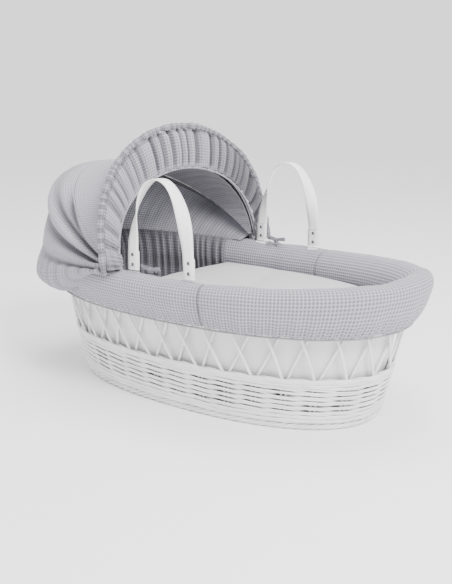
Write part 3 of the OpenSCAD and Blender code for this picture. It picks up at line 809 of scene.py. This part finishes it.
def rim_pad(name, node, t0, t1, seed):
    shape = Shape()
    step = 0.0016
    s0, s1 = share_of(t0), share_of(t1)
    run = (s1 - s0) * PERIMETER * 1.12
    cols = int(run / step)
    s = np.linspace(s0, s1, cols)
    section = pad_section(step)
    d, z, rise = section.T
    along = (s - s[0]) * PERIMETER * 1.12
    girth = run_length(section[:, :2])
    centre = np.array([4 * MM, 232 * MM])
    a = np.arctan2(z - centre[1], d - centre[0])
    shown = smooth(np.maximum(d - 0.014, -0.016 - d) + np.maximum(z - 0.252, 0) * 2, -0.001, 0.003)

    ends = np.minimum(along, along[-1] - along)
    pinch = np.exp(-ends / 0.0026) + 0.25 * np.exp(-ends / 0.020)
    slack = 0.0013 * Wobble(seed, 7, 2)(s * 1.0) + 0.0008 * Wobble(seed + 1, 9, 12)(s)
    hem = smooth(-z, -0.214, -0.188) * (d > 0.012)
    pucker = np.sin(2 * np.pi * along / 0.011 + 2.2 * Wobble(seed + 2, 6, 5)(s))
    drape = np.sin(2 * np.pi * along / 0.034 + 2.0 * Wobble(seed + 3, 5, 3)(s))
    swell = (slack[:, None] * shown[None] - 0.0022 * pinch[:, None] * shown[None]
             + 0.0011 * pucker[:, None] * hem[None]
             + 0.0009 * drape[:, None] * smooth(-z, -0.240, -0.205)[None] * (d > 0.012)[None])

    slit = np.zeros_like(swell)
    for side in (-1, 1):
        for foot in handle_shares(side):
            near = (s[:, None] - foot + 0.5) % 1.0 - 0.5
            away = np.abs(near * PERIMETER)
            crest = np.exp(-((d + 0.0) / 0.006) ** 2) * (z > 0.25)
            slit += smooth(-away, -0.017, -0.011) * crest[None]
    swell = swell + 0.0022 * slit

    cell_u = np.abs(np.sin(np.pi * along / WAFFLE))
    cell_v = np.abs(np.sin(np.pi * girth / WAFFLE))
    pit = (cell_u[:, None] * cell_v[None]) ** 0.8
    swell = swell - PAD_RELIEF * pit * shown[None]

    dd = d[None] + swell * np.cos(a)[None]
    zz = z[None] + swell * np.sin(a)[None] * 0.9
    low = (z < 0.19) & (d > 0.01)
    zz = zz + 0.0016 * pucker[:, None] * low[None]
    verts = wall(angle(s)[:, None], dd, zz, rise[None])
    n, m = verts.shape[:2]
    # Painted shade in the waffle pits, at the pinched ends, round the handle slits and in the valleys of the
    # hem's puckers.
    tone = 1 - 0.35 * pit * shown[None] - 0.30 * np.clip(pinch, 0, 1)[:, None] - 0.2 * np.clip(slit, 0, 1)
    tone = np.clip(tone - 0.18 * hem[None] * (0.5 - 0.5 * pucker[:, None]), 0, 1)
    uv = grid(along[:, None], girth[None])
    mids = verts.mean(1)[[0, -1]]
    allv = np.concatenate([verts.reshape(-1, 3), mids])
    shape.add(allv, grid_quads(n, m, False, True), end_caps(n, m),
              np.concatenate([tone.ravel(), [0.5, 0.5]]),
              np.concatenate([uv.reshape(-1, 2), [[0, 0], [0, 0]]]))
    obj = shape.build(name, M_WAFFLE, "basket", [node])
    return obj


def hem_elastic():
    shape = Shape()
    share = np.arange(1400) / 1400
    rib = np.sin(2 * np.pi * share * 420)
    out = 0.0150 + 0.0005 * rib
    path = wall(angle(share), out, HEM_Z - 0.0032 + 0.0004 * Wobble(93, 8, 20)(share), 0.15)
    # Painted shade: the braid is darkened, most between its ribs.
    tube(shape, path, 0.0017, 8, True, tone=0.5 + 0.2 * rib)
    shape.build("hem_elastic_braid", M_ELASTIC, "basket", ["hem_elastic"])


def ribbon(shape, path, width, thick, across, tone=1.0):
    """A flat strip along a path; across gives the direction of its width at each point."""
    path, across = np.asarray(path, float), unit(np.asarray(across, float))
    tan = unit(np.gradient(path, axis=0))
    across = unit(across - (across * tan).sum(-1, keepdims=True) * tan)
    face = np.cross(tan, across)
    ring = []
    places = [-1, -0.5, 0, 0.5, 1, 1, 0.5, 0, -0.5, -1]
    for place, up in zip(places, [1] * 5 + [-1] * 5):
        soft = 0.55 if abs(place) == 1 else 1.0
        ring.append(path + across * (place * width / 2) + face * (up * thick / 2 * soft))
    verts = np.stack(ring, 1)
    n, m = verts.shape[:2]
    run = run_length(path)
    side = np.array(places) * np.mean(width) / 2
    uv = grid(run[:, None], side[None])
    mids = verts.mean(1)[[0, -1]]
    shape.add(np.concatenate([verts.reshape(-1, 3), mids]), grid_quads(n, m, False, True), end_caps(n, m),
              np.full(n * m + 2, tone), np.concatenate([uv.reshape(-1, 2), [[0, 0], [run[-1], 0]]]))


def tie_bow(name, node, side):
    """A ribbon bow: a wrapped knot, two rounded loops and two tails."""
    lo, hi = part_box(node)
    c = np.array([(lo.x + hi.x) / 2, (lo.y + hi.y) / 2, lo.z + 0.0065])
    shape = Shape()
    for s in (-1, 1):
        k = np.linspace(0, 1, 40)[:, None]
        a = 2 * np.pi * k
        loop = np.concatenate([s * (0.0115 * (1 - np.cos(a))), 0.0040 * np.sin(a),
                               0.0020 + 0.0030 * np.sin(a / 2)], 1)
        across = np.concatenate([0 * k, 0.30 * np.cos(a), 1 + 0 * k], 1)
        # Painted shade: the loops, the tails and the knot are darkened a little, the knot most.
        ribbon(shape, c + loop, 0.0078 - 0.0040 * np.abs(np.cos(a / 2)) ** 3, 0.0008, across, 0.9)
        tail = np.concatenate([s * 0.015 * k ** 0.9, -side * (0.003 + 0.005 * k), -0.0005 - 0.0028 * k
                               + 0.0014 * np.sin(7 * k)], 1)
        ribbon(shape, c + tail, 0.0040 + 0.0036 * k, 0.0008,
               np.concatenate([0 * k, side + 0 * k, 0.35 + 0 * k], 1), 0.85)
    a = np.linspace(0, 2 * np.pi, 24, endpoint=False)
    for shift in (-0.0018, 0.0018):
        ring = np.stack([shift + 0 * a, 0.0038 * np.cos(a), 0.0006 + 0.0036 * np.sin(a)], -1)
        tube(shape, c + ring, 0.0021, 8, True, ref=(1, 0, 0), tone=0.8)
    shape.build(name, M_RIBBON, "basket", [node])


# ---- hood ----

COVER_H = np.array([[5, 188], [28, 212], [44, 252], [53, 280], [64, 366], [78, 352], [90, 357], [101, 382]])
COVER_W = np.array([[5, 232], [30, 230], [60, 230], [85, 240], [101, 254]])
FRONT_TILT, REAR_TILT, BACK_TILT = 9.0, 53.0, 101.0
REAR_HOOP_H, REAR_HOOP_W = 0.266, 0.218


def fan_pt(tilt, v, h, w, lift=0.0):
    """A point over the pivots: v runs from one side (0) over the top (90) to the other (180)."""
    tilt, v = np.radians(tilt), np.radians(v)
    s = np.sin(v) ** 0.9
    x = PIVOT_X - h * s * np.sin(tilt)
    y = -w * np.cos(v)
    z = PIVOT_Z + lift + h * s * np.cos(tilt)
    return grid(x, y, z)


def soft_lookup(tilt, table):
    """The table's value, rounded off at its corners."""
    spread = np.array([-5, -2.5, 0, 2.5, 5.0])
    return np.mean([np.interp(tilt + o, table[:, 0], table[:, 1]) for o in spread], 0) * MM


def set_blend(obj):
    """Bake the object's transform into its mesh."""
    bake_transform(obj)


def tucked_hem(edge, v, rows):
    """Rows that carry the hood's lower edge round and in under the padded rim."""
    side = np.minimum(v, 180 - v)
    low = smooth(side, 4, 30)[:, 0]
    x, y = edge[:, 0], edge[:, 1]
    t = np.degrees(np.arctan2(spow(y / BASE_B, OVAL_N / 2), spow(x / BASE_A, OVAL_N / 2)))
    aim = wall(t, 0.010 + 0.028 * low, 0.262 - 0.062 * low, 0.4)
    turn = edge.copy()
    turn[:, 2] = np.minimum(edge[:, 2] - 0.014, aim[:, 2] - 0.010)
    q = np.linspace(0, 1, rows + 1)[1:, None, None]
    path = (1 - q) ** 2 * edge + 2 * q * (1 - q) * turn + q * q * aim
    return path.transpose(1, 0, 2)


def hood_cloth(name, node, tilts, cols, rows, crease, hem_rows=0):
    """One outer panel of the hood, from the tilt of one hoop to the next."""
    tilt = np.linspace(tilts[0], tilts[1], rows)[None]
    v = np.linspace(1.5, 178.5, cols)[:, None]
    h = soft_lookup(tilt, COVER_H)
    w = soft_lookup(tilt, COVER_W)
    p = fan_pt(tilt, v, h, w, 0.003)
    nrm = grid_normals(p)
    mid = p[cols // 2, rows // 2] - np.array([PIVOT_X, 0, PIVOT_Z])
    if nrm[cols // 2, rows // 2] @ mid < 0:
        nrm = -nrm
    run_v = np.radians(v) * 0.27
    run_t = np.radians(tilt - tilts[0]) * 0.30
    push = crease(tilt, v)
    p = p + nrm * push[..., None]
    w_t = (tilt - tilts[0]) / (tilts[1] - tilts[0]) + 0 * v
    # Painted shade in the crease valleys and across the lower part of the back panel.
    tone = np.clip(1 + push * 85, 0.35, 1.0) - 0.16 * smooth(tilt, 62, 96) * np.ones((cols, 1))
    uv = grid(run_v, run_t)
    if hem_rows:
        p = np.concatenate([p, tucked_hem(p[:, -1], v, hem_rows)], 1)
        more = np.ones((cols, hem_rows))
        w_t, tone = np.concatenate([w_t, more], 1), np.concatenate([tone, more * tone[:, -1:]], 1)
        drop = np.arange(1, hem_rows + 1)[None, :, None] * [0.0, 0.004]
        uv = np.concatenate([uv, uv[:, -1:] + drop], 1)
        nrm = grid_normals(p)
        if nrm[cols // 2, rows // 2] @ mid < 0:
            nrm = -nrm
    inner = p - nrm * 0.0022
    shape = Shape()
    # Painted shade: the inner face is darker than the outer.
    slab(shape, p, inner, False, tone, tone * 0.8, uv)
    obj = shape.build(name, M_WAFFLE, None, [node])
    set_blend(obj)
    return obj, cloth_area(p)


def ridge(x, centre, half):
    return np.exp(-((x - centre) / half) ** 2)


def roof_crease(tilt, v):
    """Soft gathers that run back from the heading and fade towards the rear hoop."""
    front = 1 - smooth(tilt, 14, 40)
    gather = np.sin(np.radians(v) * 46 + 1.2 * np.sin(np.radians(v) * 5))
    low = np.exp(-(np.minimum(v, 180 - v)) / 24)
    wave = 0.0028 * np.sin(np.radians(v) * 3 + 1) * ridge(tilt, 34, 12)
    return 0.0016 * gather * front - 0.006 * low * ridge(tilt, 31, 5) + wave


def back_crease(tilt, v):
    """Long folds that fan out from each pivot, deep low down and soft over the crown."""
    side = np.minimum(v, 180 - v)
    low = np.exp(-(side / 44) ** 2)
    bend = 0.10 * side
    folds = (-0.017 * ridge(tilt + bend, 67, 2.8) + 0.008 * ridge(tilt + bend, 73, 3.2)
             - 0.015 * ridge(tilt + bend, 81, 2.8) + 0.006 * ridge(tilt + bend, 89, 3.0)
             - 0.008 * ridge(tilt + bend * 0.7, 95, 2.4))
    crown = 0.0030 * np.sin(np.radians(v) * 4.0 + tilt * 0.10) * smooth(side, 20, 60)
    hem = smooth(tilt, 90, 100) * 0.0022 * np.sin(np.radians(v) * 58 + 1.5 * np.sin(np.radians(v) * 7))
    edge = smooth(tilt, 53.6, 60)
    tuck = -0.011 * ridge(tilt + 0.25 * (side - 28), 57.5, 2.2)
    tuck = tuck * ridge(side, 28, 13) * smooth(tilt, 53.4, 55.5)
    return folds * low * edge + crown * edge + hem + tuck


def hood_lining(name, p, dark, material):
    """Inner cloth of the hood, from the first body's edge (last row) to the second's (first row).
    dark is the painted shade: the tone at the rear hoop, the tone at the other edge, and how much
    is taken off on the far side."""
    cols, rows = p.shape[:2]
    k = np.linspace(0, 1, rows)[None] + np.zeros((cols, 1))
    v = np.linspace(0, 180, cols)[:, None]
    turn = np.radians(v)
    rib = 0.0010 * np.sin(turn * 60 + 0.6 * np.sin(turn * 9)) * (0.4 + 0.6 * np.sin(np.pi * k))
    nrm = outward_normals(p)
    p = p + nrm * rib[..., None]
    uv = grid(np.radians(v) * 0.24, k * 0.17)
    at_rear, at_head, far_side = dark
    tone = at_rear + (at_head - at_rear) * smooth(k, 0.10, 0.70) - far_side * smooth(v, 138, 162)
    shape = Shape()
    slab(shape, p, p + nrm * 0.0014, False, tone, tone, uv)
    obj = shape.build(name, material, None, [])
    set_blend(obj)
    return obj


def hood_linings():
    cols, rows = 280, 48
    v = np.linspace(1, 179, cols)[:, None]
    k = np.linspace(0, 1, rows)[None]
    rear_h, rear_w = REAR_HOOP_H - 0.007, 0.2120
    tilt = FRONT_TILT + 2.5 + (REAR_TILT - FRONT_TILT - 3.5) * k
    front_h, front_w = 0.1755, 0.2155
    sag = 0.004 * np.sin(np.pi * k)
    roof_p = fan_pt(tilt, v, front_h + (rear_h - front_h) * k - sag, front_w + (rear_w - front_w) * k)
    hood_lining("hood_roof_lining", roof_p, (1.0, 0.9, 0.0), M_WAFFLE_SHADED)
    top = fan_pt(REAR_TILT + 1, v, rear_h, rear_w)
    crest = wall(258.4 - v / 180 * 156.8, -0.012, 0.2625, 1.0)
    back_p = top + (crest - top) * k[..., None]
    swell = 0.014 * np.sin(np.pi * k) * np.sin(np.radians(v))
    back_p = back_p + swell[..., None] * np.array([-0.8, 0, 0.6])
    hood_lining("hood_back_lining", back_p, (0.42, 1.0, 0.40), M_WAFFLE_LIT)


def casing(name, h, w, tilt, body, drop):
    """The sewn sleeve that holds a hoop: a smooth flat band just inside it."""
    shape = Shape()
    v = np.linspace(6, 174, 240)[:, None]
    k = np.linspace(0, 1, 7)[None]
    p = fan_pt(tilt, v, h - 0.004 - drop * k, w - 0.0035, 0.0)
    nrm = grid_normals(p)
    uv = grid(np.radians(v) * 0.25, k * drop)
    # Painted shade: the band is darkened, more along its lower edge.
    slab(shape, p, p + nrm * 0.0028, False, 0.45 - 0.20 * (k > 0.9) + 0 * v, None, uv)
    obj = shape.build(name, M_WAFFLE_SHADED, body, [])


# ---- frill ----

FRILL_X, FRILL_Z, FRILL_TILT = -0.076, CREST_Z + 0.001, 9.0
FRILL_IN_W, FRILL_IN_H = 0.220, 0.181
FRILL_OUT_W, FRILL_OUT_H = 0.256, 0.258
PLEATS = 25


def frill_pt(w, h, v, e, ahead=0.0):
    """A point in the frill's leaning plane; ahead is the distance in front of that plane."""
    v = np.radians(v)
    y, up = w * np.cos(v), h * np.sin(v) ** e
    tilt = math.radians(FRILL_TILT)
    x = FRILL_X - up * math.sin(tilt) + ahead * math.cos(tilt)
    z = FRILL_Z + up * math.cos(tilt) + ahead * math.sin(tilt)
    return grid(x, y, z)


def frill():
    """The gathered brim: pleats fan out from the piped inner edge to the heading."""
    shape = Shape()
    cols, rows = 1150, 44
    v = np.linspace(0.5, 179.5, cols)[:, None]
    k = np.linspace(0, 1, rows)[None]
    w = FRILL_IN_W + (FRILL_OUT_W - FRILL_IN_W) * k
    h = FRILL_IN_H + (FRILL_OUT_H - FRILL_IN_H) * k
    e = 0.80 + (0.75 - 0.80) * k
    line = np.linspace(0, 1, cols)[:, None]
    bunch = Wobble(101, 6, 2)(line[..., 0] * 0.5)[:, None]
    phase = 2 * np.pi * PLEATS * line + 2.3 * bunch + 0.9 * Wobble(103, 7, 9)(line[..., 0] * 0.5)[:, None]
    pleat = np.sin(phase) + 0.28 * np.sin(2 * phase + 1.1)
    rng = np.random.default_rng(17)
    tall = np.interp(line, np.linspace(0, 1, PLEATS + 1), rng.uniform(0.55, 1.25, PLEATS + 1))
    size = 0.0026 + 0.0060 * np.sin(np.pi * np.clip(0.16 + 0.56 * k, 0, 1))
    gather = 1 - smooth(k, 0.86, 0.97)
    flat = 1 - 0.45 * smooth(v, 104, 136)       # the far side is gathered less
    ahead = 0.0012 + pleat * tall * size * (0.25 + 0.75 * gather) * flat
    ahead = ahead + 0.0010 * np.sin(phase * 3.0) * smooth(k, 0.55, 0.95)
    end = np.exp(-(np.minimum(v, 180 - v) / 11) ** 2)
    crumple = np.sin(9.0 * k + 3.1 * phase) * np.sin(2.2 * phase - 6.0 * k)
    ahead = ahead * (1 - 0.75 * end) + 0.0018 * end * crumple
    w = w - 0.010 * end * (1 - k)
    puff = 0.0040 * np.sin(np.pi * k) ** 0.8
    p = frill_pt(w, h, v, e, ahead + puff)
    back = frill_pt(w, h, v, e, ahead + puff - 0.0022)
    # Painted shade in the pleat valleys, in a band under the heading and in the crumpled ends; the back face
    # is darker still.
    valley = np.clip(0.5 - 0.5 * pleat, 0, 1) * smooth(k, 0.0, 0.16)
    tone = 1 - 0.85 * valley ** 1.1 * flat - 0.30 * smooth(k, 0.88, 0.97) - 0.35 * end * (0.5 - 0.5 * crumple)
    tone = np.clip(tone * (0.30 + 0.70 * smooth(v, 34, 84)), 0, 1)    # painted shade on the near side
    uv = grid(line * (0.66 + 0 * k) * 1.25, k * 0.082)
    slab(shape, p, back, False, tone, tone * 0.9, uv)
    obj = shape.build("gathered_frill", M_WAFFLE_FRILL_SHADED, "hood_front", ["hood_frill"])


def frill_edge(name, node, radius, off, e, bumps, material, seed, tone):
    """The rucked heading outside the frill (off above 0) or the plain piping inside it."""
    shape = Shape()
    lump = float(off > 0)
    base_w, base_h = (FRILL_OUT_W, FRILL_OUT_H) if lump else (FRILL_IN_W, FRILL_IN_H)
    v = np.linspace(0, 180, 900)
    line = np.linspace(0, 1, 900)
    wob = Wobble(seed, 9, 6)(line * 0.5)
    ruck = np.sin(2 * np.pi * bumps * line + 2.4 * wob)
    path = frill_pt(base_w + off, base_h + off, v, e, 0.0012 * lump * wob)
    r = radius * (1 + (0.13 * ruck + 0.10 * wob) * lump)
    # Painted shade: the heading is darkened overall and in the hollows between its rucks; the piping is left
    # as it is.
    tube(shape, path, r, 14, ref=(1, 0, 0), tone=np.clip(tone + 0.20 * ruck * lump, 0, 1))
    shape.build(name, material, "hood_front", [node])


# ---- handles ----


def strap_path(side, n=90):
    a = np.linspace(math.pi, 0, n)
    h = HANDLE_TOP - FOOT_Z - STRAP_T / 2
    return np.stack([HANDLE_X + HANDLE_HALF * spow(np.cos(a), HANDLE_FULL),
                     side * (HANDLE_Y + STRAP_T / 2) + 0 * a,
                     FOOT_Z + h * np.abs(np.sin(a)) ** HANDLE_FULL], -1)


def handle(name, side):
    """A leathercloth strap: its broad face looks out at the feet and turns up over the top."""
    path = strap_path(side, 400)
    run = run_length(path)
    path = np.stack([np.interp(np.linspace(0, run[-1], 110), run, path[:, c]) for c in range(3)], -1)
    h = path[:, 2].max() - FOOT_Z
    tan = unit(np.gradient(path, axis=0))
    nrm = np.cross(tan, [0, -1, 0])
    climb = np.clip((path[:, 2] - FOOT_Z - TAB_H) / (h - TAB_H), 0, 1)[:, None]
    twist = np.pi / 2 * (climb * climb * (3 - 2 * climb))
    across = np.cos(twist) * nrm + np.sin(twist) * np.array([0, -1, 0])
    shape = Shape()
    ribbon(shape, path, STRAP_W, STRAP_T, across)
    shape.build(name + "_leather_strap", M_STRAP, name, [name + "_strap"])

    tabs = Shape()
    for x in (HANDLE_X - HANDLE_HALF + 0.001, HANDLE_X + HANDLE_HALF - 0.001):
        z = np.linspace(FOOT_Z + 0.0002, FOOT_Z + TAB_H - 0.0002, 14)
        half = np.where(z > FOOT_Z + TAB_H - 0.003, 0.86, 1.0) * STRAP_W
        mid = np.stack([x + 0 * z, side * (HANDLE_Y - 0.0002 - STRAP_T / 2) + 0 * z, z], -1)
        ribbon(tabs, mid, half[:, None], STRAP_T * 0.96, np.array([1.0, 0, 0]) + 0 * mid)
    tabs.build(name + "_leather_tabs", M_STRAP, name, [name + "_tabs"])

    studs = Shape()
    for x in (HANDLE_X - HANDLE_HALF, HANDLE_X + HANDLE_HALF):
        for z in (FOOT_Z + 0.010, FOOT_Z + 0.029):
            prof = np.array([[0.0008, 0.0017], [0.0021, 0.0013], [0.0031, 0.0006], [0.0036, -0.0002],
                             [0.0034, -0.0008]])
            for face in (-1, 1):
                foot = HANDLE_Y + face * (STRAP_T + 0.0002)
                a = np.arange(20) * 2 * np.pi / 20
                ring = [grid(x + r * np.cos(a), side * (foot + face * lift), z + r * np.sin(a))
                        for r, lift in prof]
                verts = np.concatenate(ring + [[[x, side * (foot + face * 0.0018), z],
                                                [x, side * (foot - face * 0.0009), z]]])
                n = len(prof)
                tris = np.concatenate([fan(np.arange(20), n * 20, True),
                                       fan(np.arange(20) + (n - 1) * 20, n * 20 + 1)])
                studs.add(verts, grid_quads(n, 20, False, True), tris)
    studs.build(name + "_domed_rivets", M_RIVET, name, [name + "_rivets"])
    repaint(name + "_loops", M_STRAP)


# ---- bedding ----


def quilt():
    """The quilt tucked in round the foot end: crowned, with soft wrinkles and a rolled head edge."""
    edge = COVERLET_END + 0.0015
    nu, nv = 260, 170
    # lines straight across the basket, so that the head edge is a clean rolled hem
    far = BASE_A + END_LEAN * 0.21 - 0.030
    u = np.linspace(0, 1, nu)[:, None]
    xs = edge + (far - edge) * (1 - (1 - u) ** 1.6)
    w = np.linspace(-1, 1, nv)[None]
    wide = np.sin(np.pi / 2 * w)
    b_top = BASE_B + SIDE_LEAN * 0.212 - 0.0285
    ring = b_top * np.clip(1 - (np.abs(xs) / (far + 0.0006)) ** OVAL_N, 0, 1) ** (1 / OVAL_N)
    ys = ring * wide
    gap = np.minimum(ring - np.abs(ys), far - xs + 0 * ys)
    top = COVERLET_TOP - 0.0005
    drop = 0.016 * np.exp(-np.maximum(gap, 0) / 0.012) + 0.0035 * np.exp(-np.maximum(gap, 0) / 0.05)
    zs = top - drop
    rng = np.random.default_rng(23)
    wave = 0 * zs
    for _ in range(12):
        kx, ky, ph = rng.normal(0, 15), rng.normal(0, 24), rng.uniform(0, 6.3)
        wave = wave + 0.00055 * np.sin(kx * xs + ky * ys + ph)
    wave = wave - 0.0028 * ridge(xs + 0.30 * ys, 0.07, 0.022) - 0.0022 * ridge(xs - 0.40 * ys, 0.20, 0.02)
    wave = wave - 0.0020 * ridge(ys + 0.12 * xs, -0.03, 0.02) * smooth(xs, 0.0, 0.2)
    zs = zs + (wave - 0.0015) * smooth(gap, 0.004, 0.04)
    # head edge: the quilt is one rolled fold thick
    roll = smooth(xs - edge, 0.0, 0.016)
    zs = zs - 0.0095 * (1 - np.sqrt(np.clip(1 - (1 - roll) ** 2, 0, 1)))
    under = top - 0.0195 + 0.0095 * (1 - np.sqrt(np.clip(1 - (1 - roll) ** 2, 0, 1)))
    under = np.minimum(under + 0 * zs, zs - 0.0006)
    shape = Shape()
    uv = grid(xs, ys)
    topg = grid(xs, ys, zs)
    botg = grid(xs, ys, under)
    # Painted shade: the underside is darker than the top.
    slab(shape, topg, botg, False, None, 0.8 * np.ones_like(zs), uv)
    obj = shape.build("quilted_coverlet", M_COVERLET, "cover", ["coverlet"])


def mattress():
    """A flat oval mattress with a piped edge above and below."""
    shape = Shape()
    a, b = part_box("mattress_cover")[1].x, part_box("mattress_cover")[1].y
    cols = 300
    t = np.radians(np.arange(cols) * 360 / cols)[:, None]
    lo, hi = MATTRESS_Z, MATTRESS_TOP
    in_top = [0.98, 0.60, 0.25, 0.08, 0.030, 0.010, 0.0]
    inset = np.array([in_top + [0.0] + in_top[::-1]])
    dip = [0.001, 0.0012, 0.001, 0.0015, 0.003, 0.006, 0.012]
    level = np.array([[hi - q for q in dip] + [(lo + hi) / 2]
                      + [lo + q for q in (0.012, 0.006, 0.003, 0.0015, 0.001, 0.0012, 0.001)]])
    x = (a - 0.0012) * (1 - inset) * spow(np.cos(t), 2 / OVAL_N)
    y = (b - 0.0012) * (1 - inset) * spow(np.sin(t), 2 / OVAL_N)
    quilted = 0.0005 * np.sin(38 * x) * np.sin(38 * y) * (inset > 0.02)
    z = level + quilted
    verts = np.stack([x, y, z], -1)
    n, m = verts.shape[:2]
    mids = np.array([[0, 0, hi - 0.001], [0, 0, lo + 0.001]])
    flat = np.concatenate([verts.reshape(-1, 3), mids])
    ring = np.arange(n) * m
    tris = np.concatenate([fan(ring, n * m, True), fan(ring + m - 1, n * m + 1)])
    shape.add(flat, grid_quads(n, m, True, False), tris, None, flat[:, :2])
    share = np.radians(np.arange(480) * 0.75)
    for level_z in (hi - 0.0046, lo + 0.0046):
        path = grid((a - 0.0034) * spow(np.cos(share), 2 / OVAL_N),
                    (b - 0.0034) * spow(np.sin(share), 2 / OVAL_N), level_z)
        # Painted shade: the piping is darkened a little.
        tube(shape, path, 0.0026, 8, True, tone=0.95)
    obj = shape.build("piped_mattress", M_MATTRESS, "mattress", ["mattress_cover", "mattress_core"])


# ---- build everything ----

upright_rods()
close_weave()
rope("rolled_foot_border", ["foot_border"], -0.001, FOOT_H / 2, 0.0, 0.0031, 0.0037, 4, 22, 61)
rope("rolled_top_border", ["rim_border"], 0.0, BORDER_Z, 1.0, 0.0038, 0.0038, 4, 26, 66)
cross_rods()
woven_base()
repaint("base_sticks", M_WILLOW)
side_lining()
floor_lining()
gathered_panel()
rim_pad("near_padded_rim", "near_rim_pad", -HEAD_SEAM + 0.04, -FOOT_SEAM - 0.04, 201)
rim_pad("far_padded_rim", "far_rim_pad", FOOT_SEAM + 0.04, HEAD_SEAM - 0.04, 211)
rim_pad("head_padded_rim", "head_rim_pad", HEAD_SEAM + 0.04, 360 - HEAD_SEAM - 0.04, 221)
rim_pad("foot_padded_rim", "foot_rim_pad", -FOOT_SEAM + 0.04, FOOT_SEAM - 0.04, 231)
hem_elastic()
tie_bow("near_ribbon_bow", "near_tie_bow", -1)
tie_bow("far_ribbon_bow", "far_tie_bow", 1)

roof, roof_area = hood_cloth("hood_roof_cloth", "hood_roof_panel", (FRONT_TILT + 3, REAR_TILT), 340, 60,
                             roof_crease)
back, back_area = hood_cloth("hood_back_cloth", "hood_back_panel", (REAR_TILT + 0.3, BACK_TILT), 340, 110,
                             back_crease, 16)
hood_linings()
casing("rear_hoop_casing", REAR_HOOP_H, REAR_HOOP_W, REAR_TILT, "hood_rear", 0.020)
frill()
frill_edge("frill_gathered_heading", "frill_heading", 0.0060, 0.0062, 0.75, 46, M_WAFFLE_FRILL_SHADED, 121, 0.58)
frill_edge("frill_inner_piping", "frill_piping", 0.0020, -0.0026, 0.80, 1, M_WAFFLE, 131, 1.0)
for part in ("hood_brackets", "hood_pivot_pins", "rear_hoop", "rear_hoop_eyes", "front_hoop",
             "front_hoop_eyes"):
    repaint(part, M_STEEL)

handle("near_handle", -1)
handle("far_handle", 1)
mattress()
quilt()


# ---- floor and light ----


FLOOR_HALF = 6.0
SKY_STRENGTH = 1.6
# Name, place, power in watts, width.
LAMPS = (("key", (2.1, -0.9, 2.3), 122, 0.9), ("top", (0.1, 0.3, 2.8), 52, 1.6))
LAMP_AIM = (0, 0, 0.2)


def studio():
    size = FLOOR_HALF
    me = bpy.data.meshes.new("floor")
    me.from_pydata([(-size, -size, 0), (size, -size, 0), (size, size, 0), (-size, size, 0)],
                   [], [(0, 1, 2, 3)])
    floor = bpy.data.objects.new("floor", me)
    bpy.context.collection.objects.link(floor)
    k = Nodes("pale_floor")
    k.set(Base_Color=rgb(0.97, 0.97, 0.97), Roughness=0.9)
    k.bsdf.inputs["Specular IOR Level"].default_value = 0.0
    me.materials.append(k.mat)

    world = bpy.data.worlds.new("studio")
    bpy.context.scene.world = world
    world.use_nodes = True
    sky = world.node_tree.nodes["Background"]
    sky.inputs[0].default_value = rgb(1.0, 1.0, 1.0)
    sky.inputs[1].default_value = SKY_STRENGTH

    for name, place, power, side in LAMPS:
        data = bpy.data.lights.new(name, "AREA")
        data.energy = power
        data.size = side
        lamp = bpy.data.objects.new(name, data)
        bpy.context.collection.objects.link(lamp)
        lamp.location = place
        lamp.rotation_euler = (Vector(LAMP_AIM) - Vector(place)).to_track_quat("-Z", "Y").to_euler()


studio()
